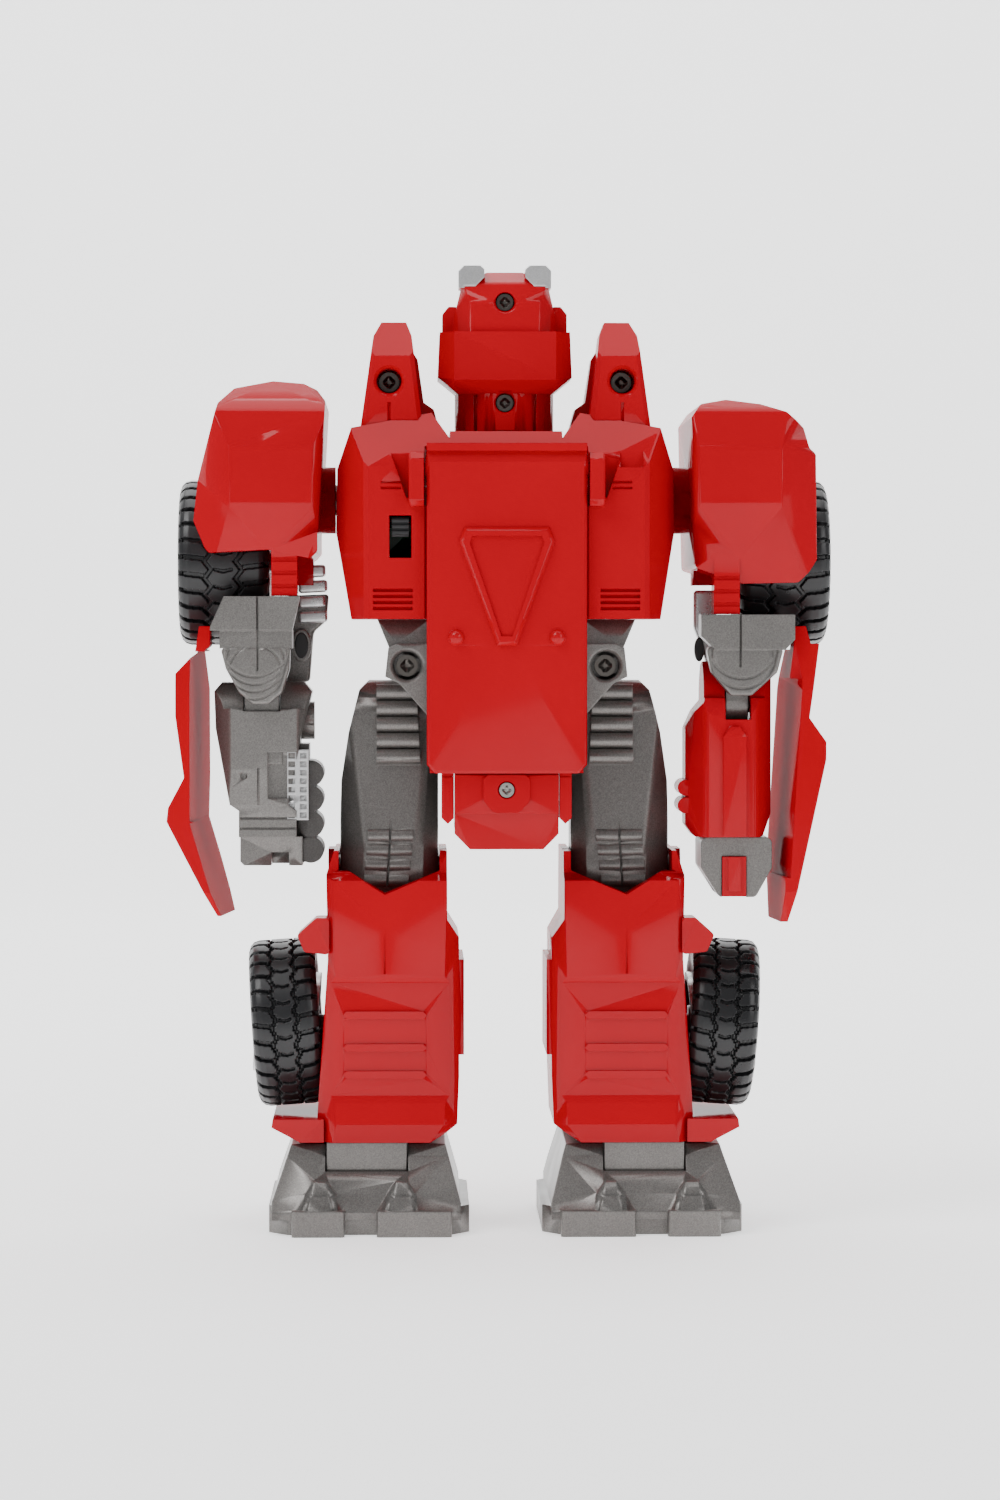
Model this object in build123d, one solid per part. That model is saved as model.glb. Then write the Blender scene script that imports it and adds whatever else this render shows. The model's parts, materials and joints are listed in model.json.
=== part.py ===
from build123d import *
import os

os.makedirs("parts", exist_ok=True)

# A toy robot that turns into a car.  It stands on the floor, its chest faces +Y and its back -Y.
# Lengths are millimetres, X is across the shoulders, the origin is on the floor between the feet.

# Torso
TOP = 250.0                # top of the horns
BACK = -34.0               # rear face of the back shell
SPLIT = -1.0               # joint plane between back shell and chest
TORSO_HALF = 43.7          # half width of the torso
BELT = 158.3               # lower edge of the torso shells
PANEL_HALF = 20.4          # half width of the hinged back panel
PANEL_LOW, PANEL_HIGH = 119.0, 203.0
HINGE_Y, HINGE_Z = -34.6, 197.0
DOOR_HALF = 13.3           # half width of the battery door below the panel
CROTCH = 99.5              # lowest point of the body

# Head
NECK_Y = -2.0              # turning axis of the head
NECK_R = 12.9

# Arms
SHOULDER_Z = 189.5
ARM_WHEEL_Y, ARM_WHEEL_Z = 8.0, 173.3
ARM_TYRE_R = 21.7
ARM_TYRE_IN, ARM_TYRE_OUT = 61.2, 85.0
ELBOW_Y = -8.0
LEFT_ELBOW_Z, RIGHT_ELBOW_Z = 132.0, 137.0

# Legs
HIP_Z, KNEE_Z = 133.0, 94.0
THIGH_IN, THIGH_OUT = 17.3, 42.9
LEG_WHEEL_X, LEG_WHEEL_Z = 56.9, 52.6
LEG_TYRE_R, LEG_TYRE_WIDTH = 21.8, 17.4
CAMBER = 4.0               # lean of the leg wheels, degrees
ANKLE_Y, ANKLE_Z = -19.0, 16.4
ANKLE_TURN = 45

# Fits
RUN = 0.05                 # running clearance of a pin, on the radius


def block(x0, x1, y0, y1, z0, z1):
    """Rectangular block between two corners."""
    return Pos((x0 + x1) / 2, (y0 + y1) / 2, (z0 + z1) / 2) * Box(x1 - x0, y1 - y0, z1 - z0)


def rod_x(y, z, r, x0, x1):
    """Round bar along X."""
    return Pos((x0 + x1) / 2, y, z) * Rot(0, 90, 0) * Cylinder(r, x1 - x0)


def rod_y(x, z, r, y0, y1):
    """Round bar along Y."""
    return Pos(x, (y0 + y1) / 2, z) * Rot(90, 0, 0) * Cylinder(r, y1 - y0)


def rod_z(x, y, r, z0, z1):
    """Round bar along Z."""
    return Pos(x, y, (z0 + z1) / 2) * Cylinder(r, z1 - z0)


def outline(points, r=0.0):
    """Closed face through the points, with corners of radius r."""
    if r:
        return make_face(FilletPolyline(*points, radius=r, close=True))
    return make_face(Polyline(*points, close=True))


def slab_x(points, x0, x1, r=0.0):
    """Plate with a (Y, Z) outline."""
    return extrude(Plane.YZ.offset(x0) * outline(points, r), x1 - x0)


def slab_y(points, y0, y1, r=0.0):
    """Plate with an (X, Z) outline."""
    return extrude(Plane.XZ.offset(-y1) * outline(points, r), y1 - y0)


def slab_z(points, z0, z1, r=0.0):
    """Plate with an (X, Y) outline."""
    return extrude(Plane.XY.offset(z0) * outline(points, r), z1 - z0)


def both(points):
    """Close a half outline, listed from the top centre down, with its mirror image."""
    return points + [(-x, z) for x, z in reversed(points) if x > 0]


def flip(shape):
    """The same piece for the other side."""
    return mirror(shape, about=Plane.YZ)


def soften(shape, edges, r):
    """Round the listed edges."""
    return fillet(edges, r) if edges else shape


def countersink(x, z, r, y0, y1):
    """Screw well, open towards the back, with a bevelled mouth."""
    mouth = Pos(x, y0 + 0.35, z) * Rot(90, 0, 0) * Cone(r, r + 0.9, 0.9)
    return rod_y(x, z, r, y0 - 1, y1) + mouth


def screw(x, z, y, r, length):
    """Cross-head screw driven in from the back, head face at y."""
    head = rod_y(x, z, r, y, y + 1.2) + rod_y(x, z, r * 0.45, y, y + length)
    cross = block(x - r * 0.62, x + r * 0.62, y - 1, y + 0.6, z - r * 0.16, z + r * 0.16)
    cross += block(x - r * 0.16, x + r * 0.16, y - 1, y + 0.6, z - r * 0.62, z + r * 0.62)
    return head - cross


def save(name, shape):
    """Write one piece as its own file."""
    shape.label = name
    export_step(shape, f"parts/{name}.step")
    solids = len(shape.solids())
    print(f"{name:22s} {solids:3d} solid(s) {shape.volume / 1000:8.2f} cm3")


# ---------------------------------------------------------------- torso, back shell

shoulder_line = [(0, 206.5), (14.4, 206.5), (14.4, 204.5), (19.1, 211.4), (39.7, 207.4),
                 (43.4, 197), (43.7, 180.7), (42.3, 173), (39.7, BELT)]
back_shell = slab_y(both(shoulder_line + [(0, BELT)]), BACK, SPLIT)
back_shell += block(-19.6, 19.6, -33.4, -19.2, 119, BELT)
for side in (-1, 1):
    rail = slab_y([(13.5, 121), (13.5, 107.5), (15, 106), (16.6, 107.5), (16.6, 121)], -33.6, -24)
    back_shell += rail if side > 0 else flip(rail)
    edge = slab_z([(44.5, -16), (44.5, -35), (34, -35), (36.5, -33)], 150, 215)
    back_shell -= edge if side > 0 else flip(edge)
    valley = slab_y([(20, 187), (25.6, 189.3), (33.8, 213), (14, 213), (14, 204)], -35, -31.2)
    back_shell -= valley if side > 0 else flip(valley)
back_shell -= slab_x([(-35, 196), (-35, 213), (-21, 213)], -45, 45)

# The panel closes into a shallow bed and its hinge barrel turns in a trough.
back_shell -= block(-20.9, 20.9, -35, -33.4, 118, 213)
back_shell -= rod_x(HINGE_Y, HINGE_Z, 7.4, -20.9, 20.9)
for side in (-1, 1):
    lug = slab_x([(-30, 187), (-36.5, 187), (-38, 188.5), (-38, 199), (-36.2, 200.8), (-30, 200.8)],
                 21.1, 25, 0.6)
    lug = soften(lug, lug.edges().filter_by(Axis.Y).sort_by(Axis.X)[-2:], 0.8)
    back_shell += lug if side > 0 else flip(lug)
back_shell -= rod_x(HINGE_Y, HINGE_Z, 1.2 + RUN, -24.2, 24.2)

# Room for the electronics, the battery bay and the neck.
back_shell -= block(-37, 37, -31, 0, 161, 186)
back_shell -= block(-17.1, 17.1, -36, -31, 121, 169)
back_shell -= block(-16.8, 16.8, -33, -20.6, 121, 168)
back_shell -= block(-13.5, 13.5, -36, -31, 100, 122)
back_shell -= rod_z(0, NECK_Y, 5 + RUN, 195, 220)
back_shell -= rod_z(0, NECK_Y, 7.5, 192, 196.4)
for side in (-1, 1):
    back_shell -= block(*sorted((side * 22, side * 38)), -25.5, 0, 197, 203.5)
    back_shell -= rod_x(0, SHOULDER_Z, 4 + RUN, *sorted((side * 34, side * 46)))
    back_shell -= rod_x(0, SHOULDER_Z, 6.3, *sorted((side * 33, side * 36.4)))

# Surface relief: speaker louvres, vents, switch slot, notches.
for side in (-1, 1):
    for k in range(4):
        z = 160.6 + 1.55 * k
        back_shell -= block(*sorted((side * 24, side * 34)), -35, -33.2, z, z + 0.8)
    for z in (191.4, 192.9):
        back_shell -= block(*sorted((side * 27, side * 32)), -35, -33.5, z, z + 0.6)
back_shell -= block(-29.9, -24.3, -36, -30, 173.9, 184.7)
back_shell -= block(-28, -26.2, -32, -29, 175.5, 183)
back_shell -= block(29, 35, -35, -30.6, 197, 204)
save("rear_cover", back_shell)

# ---------------------------------------------------------------- torso, chest

chest_side = [(SPLIT, 206.5), (SPLIT, BELT), (26, BELT), (32, 162), (34.5, 166), (34.5, 178),
              (32, 181), (26, 199), (20, 206.5)]
chest = slab_y(both([(0, 206.5), (14.4, 206.5), (14.4, 206), (39.7, 206), (43.4, 197),
                     (43.7, 180.7), (42.3, 173), (39.7, BELT), (0, BELT)]), SPLIT, 35)
chest &= slab_x(chest_side, -45, 45)
for side in (-1, 1):
    corner = slab_z([(44.5, 12), (44.5, 36), (30, 36)], 150, 215)
    chest -= corner if side > 0 else flip(corner)
    crease = block(26.6, 27.6, 20, 36, 182, 207)
    chest -= (crease if side > 0 else flip(crease)) & slab_x([(24.6, 199), (30.8, 181.5), (36, 181),
                                                             (36, 207)], -45, 45)
chest -= block(-37, 37, -2, 22, 161, 186)
chest -= rod_z(0, NECK_Y, 5 + RUN, 195, 220)
chest -= rod_z(0, NECK_Y, 7.5, 192, 196.4)
for side in (-1, 1):
    chest -= block(*sorted((side * 21, side * 38)), -2, 16, 197, 203.5)
    chest -= rod_x(0, SHOULDER_Z, 4 + RUN, *sorted((side * 34, side * 46)))
    chest -= rod_x(0, SHOULDER_Z, 6.3, *sorted((side * 33, side * 36.4)))
grille_bed = block(-17, 17, 30, 36, 164, 177)
lamp_bed = slab_y([(20, 166), (33, 168.5), (35, 177), (20, 178)], 21.9, 36)
chest -= grille_bed
chest -= lamp_bed
chest -= flip(lamp_bed)
chest -= rod_y(0, 191.5, 6.4, 10, 40)

# The pair of towers beside the head: the front halves belong to the chest.
tower_front = slab_y([(19.8, 206), (37.9, 206), (35, 226), (32, 229.4), (24.8, 229.4),
                      (22.6, 226)], -5.9, 8)
tower_front -= slab_x([(9, 216), (9, 230), (-1, 230)], 20, 40)
shelf = slab_y([(16.4, 206), (21.2, 206), (21.2, 215), (18.4, 213)], -5.9, 6)
tower_front += shelf
tower_front += block(16.6, 37, -0.9, 8, 204, 207)
tower_front -= back_shell
chest += tower_front + flip(tower_front)
save("front_cover", chest)

fin = slab_y([(21, 205), (37.7, 205), (34, 231.4), (32, 235), (25.6, 235), (24.2, 231.4)],
             -24, -6)
fin = chamfer(fin.faces().sort_by(Axis.Y)[0].edges(), 1.1)
fin -= slab_x([(-24.5, 225.4), (-24.5, 236), (-15, 236)], 20, 40)
fin -= countersink(30, 219.5, 3.2, -24, -14)
fin -= block(29.6, 30.4, -25, -23.4, 206, 214)
right_fin = fin - back_shell - chest
save("right_fin", right_fin)
save("left_fin", flip(fin) - back_shell - chest)

grille = block(-16.9, 16.9, 30, 31.4, 164.1, 176.9)
for k in range(5):
    grille += block(-16.9, 16.9, 31.2, 33.6, 164.7 + 2.5 * k, 166.1 + 2.5 * k)
save("chest_grille", grille)

lamp = slab_y([(20.1, 166.1), (32.9, 168.6), (34.9, 176.9), (20.1, 177.9)], 24, 33.6)
lamp &= slab_z([(19, 20), (36.8, 20), (36.8, 24.2), (31, 30), (26, 33.6), (19, 33.6)], 160, 182)
save("headlights", lamp + flip(lamp))

# ---------------------------------------------------------------- waist, batteries, electronics

waist = block(-16.5, 16.5, -19.1, 13, 119, BELT - 0.1)
waist -= block(-14, 14, -17, 10.5, 121.5, 153)
waist += slab_y(both([(0, BELT - 0.1), (33, BELT - 0.1), (30, 151), (0, 151)]), -30, 24)
waist -= block(-27, 27, -16.5, 21.5, 153, 156)
waist -= block(-19.8, 19.8, -34, -19.1, 112, BELT)
waist += block(-13, 13, -31.2, 12, CROTCH + 0.3, 119)
waist -= block(-10.8, 10.8, -29, 9.8, CROTCH + 2.6, 117)
waist -= slab_y([(-13.5, 99), (-13.5, 104), (-9, 99)], -35, 15)
waist -= slab_y([(13.5, 99), (13.5, 104), (9, 99)], -35, 15)
waist += slab_y([(-9, 121), (9, 121), (11, 150), (-11, 150)], 12.9, 16)
bracket = slab_y([(20, 150), (20, 152), (28, 152), (30.2, 151), (31, 143.6), (27.5, 141.9),
                  (20.4, 133.9), (20, 133.9)], -31, -19.2)
bracket -= countersink(25.4, 146.4, 3.6, -31, -26)
waist += bracket + flip(bracket)
waist += rod_x(0, HIP_Z, 3.5, -25, 25)
waist += rod_x(0, HIP_Z, 8, -17, 17)
save("waist_frame", waist)

cover = slab_y(both([(0, 168.6), (16.9, 168.6), (16.9, 121.2), (13.3, 121.2), (13.3, 103.5),
                     (9.4, CROTCH), (0, CROTCH)]), -33.3, -31.3)
cover += slab_y(both([(0, 118.6), (13.3, 118.6), (13.3, 108.6), (0, 108.6)]), -34, -33.2)
cover += slab_y([(-6, 118.6), (6, 118.6), (6, 112), (3.4, 108.9), (-3.4, 108.9), (-6, 112)],
                -34.6, -33.9, 1.2)
for x in (-3.6, 3.6):
    cover -= block(x - 1, x + 1, -36, -33.4, 106.6, 108.6)
cover -= rod_y(0, 114.7, 2.2, -36, -33.4)
cover -= rod_y(0, 114.7, 1, -36, -30)
save("battery_door", cover)
save("battery_door_screw", screw(0, 114.7, -34.7, 1.9, 2.9))

CELL_R, CELL_LOW, CELL_HIGH = 5.1, 122.4, 165.7
cells = Part()
for x in (-10.7, 0, 10.7):
    cells += rod_z(x, -25.8, CELL_R, CELL_LOW + 1, CELL_HIGH)
    nub_z = CELL_HIGH - 0.1 if x else CELL_LOW
    cells += rod_z(x, -25.8, 1.9, nub_z, nub_z + 1.1)
save("batteries", cells)
contacts = block(-16, 16, -30.6, -21, 166.9, 167.6)
contacts += block(-16, 16, -30.6, -21, 121.2, 121.8)
for x in (-10.7, 10.7):
    contacts += Pos(x, -25.8, 122.5) * Cone(3, 2, 1.5)
contacts += Pos(0, -25.8, 166.3) * Cone(2, 3, 1.3)
save("battery_contacts", contacts - cells)

board = block(-30, 16, -7, -5.4, 163, 183)
board += block(-4, 6, -8.6, -6.9, 168, 178)
board += block(-14, -8, -8, -6.9, 166, 170)
board += rod_y(11, 179, 2, -12, -6.9)
board += block(-30, -24, -12, -6.9, 176, 182)
save("circuit_board", board)
speaker = rod_y(26, 173, 10.6, -30.8, -29.2)
speaker += Pos(26, -26.7, 173) * Rot(90, 0, 0) * Cone(5.5, 10.4, 5.2)
speaker += rod_y(26, 173, 5.5, -24.2, -20)
save("speaker", speaker)

slider = block(-29.3, -24.9, -32.6, -30.4, 179.3, 184.2)
for k in range(3):
    slider += block(-29.3, -24.9, -33.6, -32.5, 179.9 + 1.5 * k, 180.7 + 1.5 * k)
slider += block(-27.7, -26.5, -30.5, -28.6, 180.3, 182.7)
save("power_switch", slider)

button = rod_y(0, 191.5, 6.1, 18, 31.2)
button += rod_y(0, 191.5, 5, 31.1, 32)
button -= slab_y([(0, 195), (3.2, 191.5), (0, 188), (-3.2, 191.5)], 31.4, 33)
button += rod_y(0, 191.5, 2.4, 12.5, 18.1)
save("chest_button", button)

# ---------------------------------------------------------------- back panel

panel = slab_y(both([(0, PANEL_HIGH), (PANEL_HALF, PANEL_HIGH), (PANEL_HALF, PANEL_LOW + 2.2),
                     (PANEL_HALF - 2.2, PANEL_LOW), (0, PANEL_LOW)]), -37.4, -34)
panel = chamfer(panel.faces().sort_by(Axis.Y)[0].edges(), 0.8)
panel -= slab_x([(-38, 196.4), (-38, 201), (-36.5, 201)], -21, 21)
panel += block(-PANEL_HALF, PANEL_HALF, -38, -35, 201, PANEL_HIGH)
emblem = [(-10.8, 181.6), (10.8, 181.6), (12.1, 178), (2.5, 151.6), (-2.5, 151.6), (-12.1, 178)]
boss = slab_y(emblem, -38.8, -37.2)
boss = chamfer(boss.faces().sort_by(Axis.Y)[0].edges(), 0.9)
boss -= slab_y([(-8.8, 179.4), (8.8, 179.4), (9.4, 177.6), (1.4, 154), (-1.4, 154), (-9.4, 177.6)],
               -39, -38.2)
panel += boss
for x in (-12.9, 12.9):
    dome = Pos(x, -37, 153.6) * Sphere(2.1)
    panel += dome & block(-20, 20, -40, -37, 150, 157)
panel += rod_x(HINGE_Y, HINGE_Z, 2.7, -20.7, 20.7)
panel += rod_x(HINGE_Y, HINGE_Z, 1.2, -24, 24)
panel -= block(-17.6, 17.6, -35.2, -33, 122, 190)
for z in (136, 152, 168):
    panel += block(-17.7, 17.7, -35.3, -34.2, z, z + 1.2)
save("back_panel", panel)

# ---------------------------------------------------------------- head

helmet = slab_y(both([(4.6, 248.6), (11, 245.6), (12.9, 238), (13.6, 232)]), -15, 9, 1.5)
helmet &= slab_x([(-15, 230), (-15, 240), (-12.6, 245.4), (-7, 248.8), (3, 248.8), (9, 244), (9, 230)],
                 -18, 18, 2)
helmet &= slab_z([(-13.7, -8.4), (-9, -15), (9, -15), (13.7, -8.4), (13.7, 9), (-13.7, 9)], 230, 250,
                 1.2)
for side in (-1, 1):
    pod = slab_y([(12.4, 232), (12.4, 239.6), (14.6, 239.6), (16.2, 237.6), (16.2, 232)], -8.6, 4, 0.5)
    helmet += pod if side > 0 else flip(pod)
collar = slab_z([(-13.2, -16.6), (13.2, -16.6), (17.4, -12.4), (17.4, 7), (-17.4, 7),
                 (-17.4, -12.4)], 216.8, 232.7)
collar &= slab_y(both([(0, 232.7), (16.9, 232.7), (17.4, 221), (12.2, 216.8), (0, 216.8)]), -18, 9)
collar -= slab_x([(-17, 216), (-17, 221), (-14.6, 216)], -18, 18)
neck = rod_z(0, NECK_Y, NECK_R, 207.2, 217)
for side in (-1, 1):
    for x in (7.2, 9.6):
        neck -= block(*sorted((side * x, side * (x + 0.9))), -16, -11.2, 207, 216.6)
helmet += collar + neck
helmet += rod_z(0, NECK_Y, 5, 197, 207.5)
helmet += rod_z(0, NECK_Y, 7.1, 192.6, 196)
helmet += rod_z(0, NECK_Y, 5, 195.5, 198)
helmet -= countersink(0, 240.5, 2.5, -15, -9)
helmet -= countersink(0, 214.4, 2.5, -15.1, -10)
helmet -= block(-12, 12, 5, 12, 209, 241)
for side in (-1, 1):
    for k in range(3):
        slot = block(17, 18, -8 + 3.4 * k, -6.6 + 3.4 * k, 222.5, 229.5)
        helmet -= slot if side > 0 else flip(slot)
save("head_shell", helmet)

horn = slab_y([(5.3, 247), (5.3, 249), (6.4, TOP), (10.6, TOP), (12, 248.6), (12, 244.2),
               (8, 244.2)], -13, -3)
horn -= helmet
save("head_horns", horn + flip(horn))

face = slab_y(both([(0, 232), (10.4, 232), (11.4, 226), (9.4, 216), (5.4, 210.4), (0, 210.4)]),
              5.1, 11.4)
face -= slab_x([(12, 226), (12, 233), (9.2, 233)], -13, 13)
face += slab_y([(-1.6, 226), (1.6, 226), (2.6, 219.6), (-2.6, 219.6)], 11, 13.4)
face -= block(-5, 5, 10.2, 14, 214.4, 215.6)
face += slab_y(both([(0, 248.8), (3, 248.8), (4, 240.4), (2.2, 236), (0, 236)]), 8.9, 11.6)
face -= helmet
save("face", face)
visor = slab_y(both([(0, 239), (11.4, 240.4), (11.6, 233.2), (0, 232.2)]), 5.1, 10)
save("visor", visor - face - helmet)
body_screws = screw(30, 219.5, -16.6, 2.6, 2.5) + screw(25.4, 146.4, -28.2, 2.8, 2.1)
save("body_screws", body_screws + flip(body_screws))
save("head_screws", screw(0, 240.5, -12.5, 2.2, 3.4) + screw(0, 214.4, -12.6, 2.2, 2.5))

# ---------------------------------------------------------------- wheels


def tyre(r, width, hub):
    """Tyre about the Z axis with two grooves round the tread, centred on the origin."""
    half = width / 2
    profile = make_face(FilletPolyline((hub, -half + 0.6), (r - 2.4, -half), (r, -half + 2.2),
                                       (r, half - 2.2), (r - 2.4, half), (hub, half - 0.6),
                                       radius=0.5, close=True))
    ring = revolve(Plane.XZ * profile, Axis.Z)
    for z in (-half * 0.36, half * 0.36):
        ring -= Pos(0, 0, z) * (Cylinder(r + 1, 1.1) - Cylinder(r - 0.9, 1.1))
    return ring


def rim(hub, width):
    """Five-spoke wheel about the Z axis, outer face towards +Z."""
    half = width / 2
    disc = Cylinder(hub, width - 1.2)
    disc -= Pos(0, 0, half - 1.6) * Cylinder(hub - 1.6, 4)
    disc += Pos(0, 0, half - 3.2) * Cylinder(3.6, 4.4)
    spoke = Pos(hub / 2, 0, half - 2.6) * Box(hub - 1, 3.4, 2.8)
    for k in range(5):
        disc += (Rot(0, 0, 72 * k) * spoke) & Cylinder(hub - 0.5, width + 4)
    disc += Pos(0, 0, half - 1) * Cone(2.4, 1.6, 1.4)
    hollow = Pos(0, 0, -half + 2) * (Cylinder(hub - 1.8, 8) - Cylinder(4.6, 8))
    return disc - hollow


def on_arm(shape):
    """Stand a wheel in the right arm wheel's place."""
    return Pos((ARM_TYRE_IN + ARM_TYRE_OUT) / 2, ARM_WHEEL_Y, ARM_WHEEL_Z) * Rot(0, 90, 0) * shape


def on_leg(shape):
    """Stand a wheel in the right leg wheel's place, leaning in at the top."""
    return Pos(LEG_WHEEL_X, 0, LEG_WHEEL_Z) * Rot(0, 90 - CAMBER, 0) * shape


arm_width = ARM_TYRE_OUT - ARM_TYRE_IN
arm_tyre = on_arm(tyre(ARM_TYRE_R, arm_width, 13.5))
arm_rim = on_arm(rim(13.5, arm_width) + Pos(0, 0, -arm_width / 2 - 2.2) * Cylinder(2.5, 6))
save("right_arm_tyre", arm_tyre)
save("left_arm_tyre", flip(arm_tyre))
save("right_arm_wheel", arm_rim)
save("left_arm_wheel", flip(arm_rim))
leg_tyre = on_leg(tyre(LEG_TYRE_R, LEG_TYRE_WIDTH, 13.5))
leg_rim = on_leg(rim(13.5, LEG_TYRE_WIDTH)
                 + Pos(0, 0, -LEG_TYRE_WIDTH / 2 - 2.6) * Cylinder(2.5, 7))
save("right_leg_tyre", leg_tyre)
save("left_leg_tyre", flip(leg_tyre))
save("right_leg_wheel", leg_rim)
save("left_leg_wheel", flip(leg_rim))

# ---------------------------------------------------------------- arms

arm_profile = [(-20.5, 160), (-27.4, 188), (-27.4, 202), (-23, 212), (-12, 220.6), (24, 220.6),
               (32, 213), (35.5, 200), (35.5, 160)]
arm_plan = [(46.2, -23.5), (50, -27.6), (70.5, -27.6), (81, -18.5), (81, 28), (74, 35.6), (50, 35.6),
            (46.2, 31)]


def fender(points, bottom, column_foot):
    """Wheel arch of the right-hand side; points are its outline from behind."""
    body = slab_y(points, -28, 36, 1.2) & slab_x(arm_profile, 44, 90, 3)
    body &= slab_z(arm_plan, bottom - 10, 225, 2)
    body -= rod_x(ARM_WHEEL_Y, ARM_WHEEL_Z, ARM_TYRE_R + 1.8, 60.3, 95)
    body -= block(60.3, 95, ARM_WHEEL_Y - 23.5, ARM_WHEEL_Y + 23.5, 140, ARM_WHEEL_Z)
    body -= block(50.5, 57.8, -14, 30, 177, 206)
    body -= block(52, 68, -24, -17.6, 183, 203)
    body -= block(62, 74, -12, 26, 199, 209.5)
    body += block(50, 60.2, ARM_WHEEL_Y - 6, ARM_WHEEL_Y + 6, ARM_WHEEL_Z - 6, 180)
    body += block(53.6, 60.3, -24, -14.6, column_foot, 180)
    body += rod_x(0, SHOULDER_Z, 8.7, 44.1, 50.6)
    body += rod_x(0, SHOULDER_Z, 4, 35.5, 44.2)
    body += rod_x(0, SHOULDER_Z, 6, 33.4, 35.9)
    body -= rod_x(ARM_WHEEL_Y, ARM_WHEEL_Z, 2.5 + RUN, 51, 70)
    for k in range(3):
        body -= block(52, 61, -24.4, -23.6, column_foot + 2 + 3.4 * k, column_foot + 3 + 3.4 * k)
    return body


left_fender = fender([(48.6, 217.5), (52.1, 219.3), (60.1, 220), (70, 218), (74.1, 214),
                      (79.3, 194.1), (80.5, 183.7), (77.5, 176.7), (76.5, 175.4), (61.1, 176.2),
                      (50.2, 173.9), (48.4, 175.8), (48.4, 180.7), (46.4, 214.5)], 175, 164.3)
right_fender = fender([(47.8, 210.2), (50.3, 213.8), (56.9, 215), (65.8, 213.8), (72.4, 211.7),
                       (76.8, 207.6), (78.5, 202.5), (80.3, 201), (80.6, 173.7), (78.5, 170.6),
                       (75.5, 167.8), (61.1, 167.5), (48.8, 171.6)], 167, 159.6)
save("left_fender", flip(left_fender))
save("right_fender", right_fender)

left_arm = slab_y([(53, 164.2), (72.5, 164.2), (76, 156.4), (76, 155.4), (55, 155.4)], -25, -14.8)
left_arm += slab_y([(55, 155.6), (73.6, 155.6), (73.6, 150.8), (55, 150.8)], -24, -5.4)
left_arm -= rod_x(ARM_WHEEL_Y, ARM_WHEEL_Z, ARM_TYRE_R + 0.6, 60.6, 90)
left_arm += slab_y([(57, 151), (70.7, 151), (70.7, 147), (68, 144.6), (59.6, 144.6), (57, 147)],
                   -23, 3, 1)
left_arm += block(58.6, 67.3, -18, 2, LEFT_ELBOW_Z, 146)
left_arm += rod_x(ELBOW_Y, LEFT_ELBOW_Z, 9.6, 58.6, 67.3)
guard = slab_y([(55.4, 151), (73.4, 151), (72, 145.6), (68.6, 139.4), (65, 136.4), (61, 136.4),
                (57.4, 139.4), (55.6, 145.6)], -24.4, -18.6, 1)
guard = fillet(guard.faces().sort_by(Axis.Y)[0].edges(), 0.8)
for k in range(4):
    guard -= Pos(64.4, -24.4, 152.4 - 2.6 * k) * Rot(90, 0, 0) * Torus(9 - 0.7 * k, 0.35)
left_arm += guard
left_arm -= block(63.6, 64.1, -26, -23.6, 145, 165)
left_arm += rod_x(ELBOW_Y, LEFT_ELBOW_Z, 3, 51, 74)
save("left_upper_arm", flip(left_arm))

right_arm = slab_y([(50.3, 159.5), (74.5, 159.5), (74.5, 153.1), (72, 150.4), (54, 150.4),
                    (50.3, 154)], -25, -14.8)
right_arm += slab_y([(54, 153), (71.8, 153), (66, 148.4), (57.2, 147.9)], -24, 0)
cone = slab_y([(51.6, 151.4), (71.8, 151.4), (70, 144.6), (63.4, 138.6), (58, 138.6), (53, 144.6)],
              -24.4, -18.8, 1.4)
cone = fillet(cone.faces().sort_by(Axis.Y)[0].edges(), 0.8)
for k in range(2):
    cone -= Pos(61, -24.4, 152 - 3.4 * k) * Rot(90, 0, 0) * Torus(9 - 0.8 * k, 0.4)
right_arm += cone
right_arm -= rod_x(ARM_WHEEL_Y, ARM_WHEEL_Z, ARM_TYRE_R + 0.6, 60.6, 90)
right_arm += block(57.2, 63, -17.5, 1.5, RIGHT_ELBOW_Z, 150)
right_arm += rod_x(ELBOW_Y, RIGHT_ELBOW_Z, 9.4, 57.2, 63)
right_arm -= block(60.2, 60.7, -26, -23.6, 146, 160)
right_arm += rod_x(ELBOW_Y, RIGHT_ELBOW_Z, 3, 51.6, 68)
save("right_upper_arm", right_arm)

door_side = [(-24, 88), (-24, 140), (-21, 157), (-13, 157), (-11, 150.4), (4, 150.4), (13, 140),
             (14, 96), (7, 79), (-15, 79)]
left_door = slab_y([(77.4, 150.4), (76.1, 151.4), (76.1, 156.5), (79, 156.5), (80, 149.6),
                    (85, 144.3), (85, 133.4), (82.8, 117.5), (86.9, 109.8), (87.3, 106.2),
                    (74.5, 81.5), (70.7, 81.5), (78, 106.2), (77.7, 117)], -24, 14)
left_door &= slab_x(door_side, 66, 90)
left_door -= slab_x([(-20, 100), (-20, 138), (0, 138), (9, 128), (9, 100)], 84.2, 90)
lean_in = [(-3, -24.5), (3.6, -24.5), (-0.2, 14.5), (-3, 14.5)]
left_door -= Pos(77.8, 0, 0) * slab_z(lean_in, 106.2, 150)
left_door -= Pos(77.8, 0, 106.2) * Rot(0, 16.5, 0) * slab_z(lean_in, -30, 0.6)
save("left_door", flip(left_door))
right_door = slab_y([(74.6, 153), (74.6, 156.5), (77.6, 156.5), (78.8, 152), (81, 152),
                     (78.3, 132.9), (82.7, 126.7), (82.7, 122.2), (73.5, 79.7), (70.3, 79.7),
                     (70.2, 92.3), (73.2, 142.7)], -24, 14)
right_door &= slab_x(door_side, 66, 90)
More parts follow.
